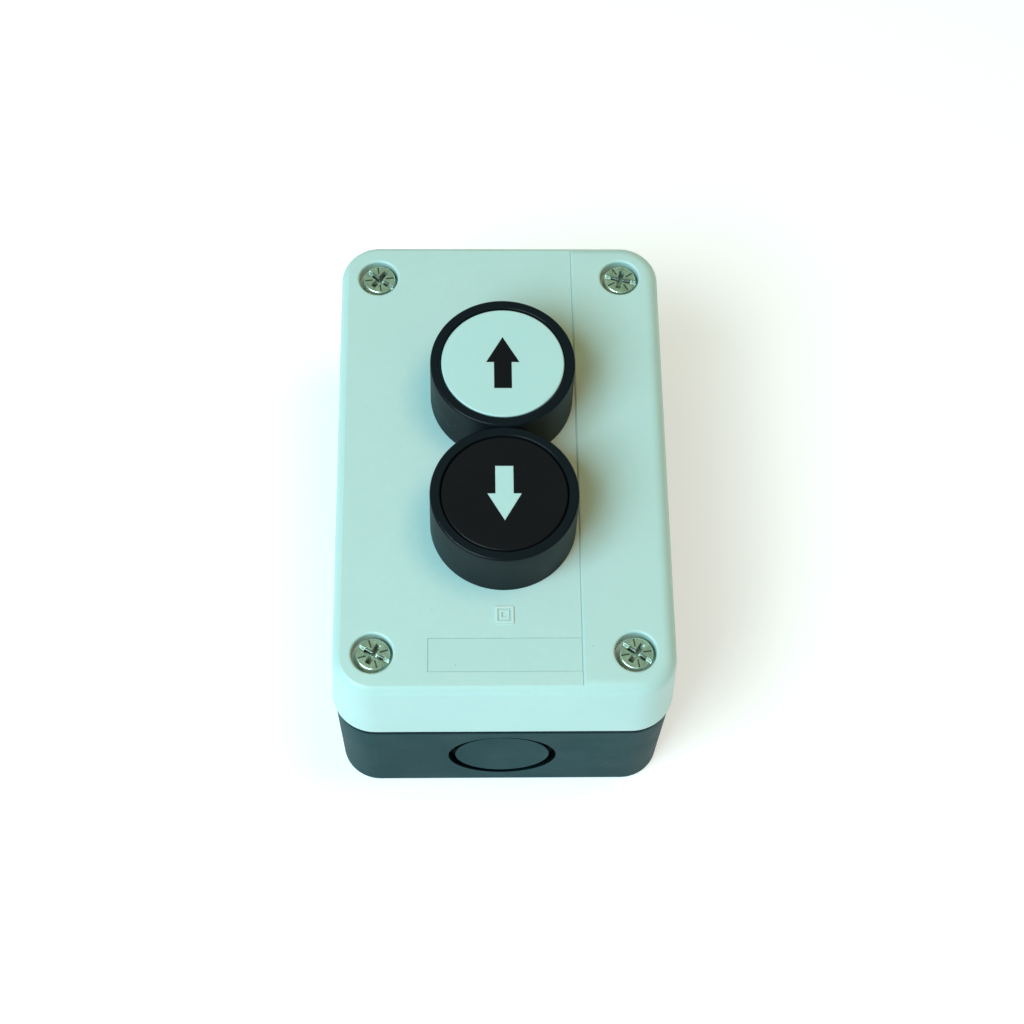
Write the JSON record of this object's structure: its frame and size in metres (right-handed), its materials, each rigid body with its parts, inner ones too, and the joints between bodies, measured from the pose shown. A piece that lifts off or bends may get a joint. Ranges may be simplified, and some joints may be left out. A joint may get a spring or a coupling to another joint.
{
  "type": "pendant control station",
  "caption": "Push-button control station: pale screw-on cover with up and down arrow buttons over a dark base with cable knockouts.",
  "frame": {"origin": "centre of the back face, on the plane that the four corner feet rest on", "axes": "+Z out of the cover towards the operator, +Y along the long side towards the end nearest the up button, +X to the right seen from the front"},
  "size_m": [0.07, 0.106, 0.0656],
  "materials": {
    "cover_plastic": "pale grey-green moulded plastic, fine even grain",
    "base_plastic": "dark slate moulded plastic, fine grain",
    "bezel_plastic": "black moulded plastic, satin",
    "black_plastic": "black moulded plastic, fine matte grain",
    "white_plastic": "white moulded plastic, fine matte grain",
    "nameplate_plastic": "blank moulded plate",
    "zinc_screw": "zinc-plated steel",
    "zinc_casting": "cast zinc alloy, bright",
    "seal_rubber": "black sealing rubber",
    "inner_plastic": "natural acetal",
    "block_plastic": "green moulded contact-block plastic",
    "contact_brass": "stamped brass with silver tips",
    "spring_steel": "drawn spring wire"
  },
  "bodies": {
    "housing": {"base": "base_plastic", "cover": "cover_plastic", "cover_gasket": "seal_rubber", "cover_screws": "zinc_screw", "screw_washers": "seal_rubber", "nameplate": "nameplate_plastic", "up_bezel": "bezel_plastic", "up_head_seal": "seal_rubber", "up_ring_nut": "zinc_casting", "up_mounting_collar": "zinc_casting", "up_collar_screw": "zinc_screw", "up_contact_housing": "block_plastic", "up_contact_cover": "block_plastic", "up_fixed_contacts": "contact_brass", "up_terminal_screws": "zinc_screw", "up_wire_clamps": "zinc_casting", "up_return_spring": "spring_steel", "up_pusher_spring": "spring_steel", "up_bridge_spring": "spring_steel", "down_bezel": "bezel_plastic", "down_head_seal": "seal_rubber", "down_ring_nut": "zinc_casting", "down_mounting_collar": "zinc_casting", "down_collar_screw": "zinc_screw", "down_contact_housing": "block_plastic", "down_contact_cover": "block_plastic", "down_fixed_contacts": "contact_brass", "down_terminal_screws": "zinc_screw", "down_wire_clamps": "zinc_casting", "down_return_spring": "spring_steel", "down_pusher_spring": "spring_steel", "down_bridge_spring": "spring_steel"},
    "up_button": {"up_button_cap": "white_plastic", "up_arrow": "black_plastic", "up_plunger": "inner_plastic", "up_contact_pusher": "inner_plastic"},
    "up_bridge": {"up_contact_bridge": "contact_brass"},
    "down_button": {"down_button_cap": "black_plastic", "down_arrow": "white_plastic", "down_plunger": "inner_plastic", "down_contact_pusher": "inner_plastic"},
    "down_bridge": {"down_contact_bridge": "contact_brass"}
  },
  "joints": [
    {"name": "up_press", "type": "slide", "parent": "housing", "child": "up_button", "axis": [0, 0, -1], "range_m": [0, 0.004], "stiffness_N_per_m": 900, "springref_m": -0.002, "deforming": ["up_return_spring", "up_pusher_spring", "up_bridge_spring"]},
    {"name": "up_contact", "type": "slide", "parent": "housing", "child": "up_bridge", "axis": [0, 0, -1], "range_m": [0, 0.0026]},
    {"name": "down_press", "type": "slide", "parent": "housing", "child": "down_button", "axis": [0, 0, -1], "range_m": [0, 0.004], "stiffness_N_per_m": 900, "springref_m": -0.002, "deforming": ["down_return_spring", "down_pusher_spring", "down_bridge_spring"]},
    {"name": "down_contact", "type": "slide", "parent": "housing", "child": "down_bridge", "axis": [0, 0, -1], "range_m": [0, 0.0026]}
  ],
  "couplings": [
    {"joint": "up_contact", "follows": "up_press", "ratio": 0.65},
    {"joint": "down_contact", "follows": "down_press", "ratio": 0.65}
  ]
}
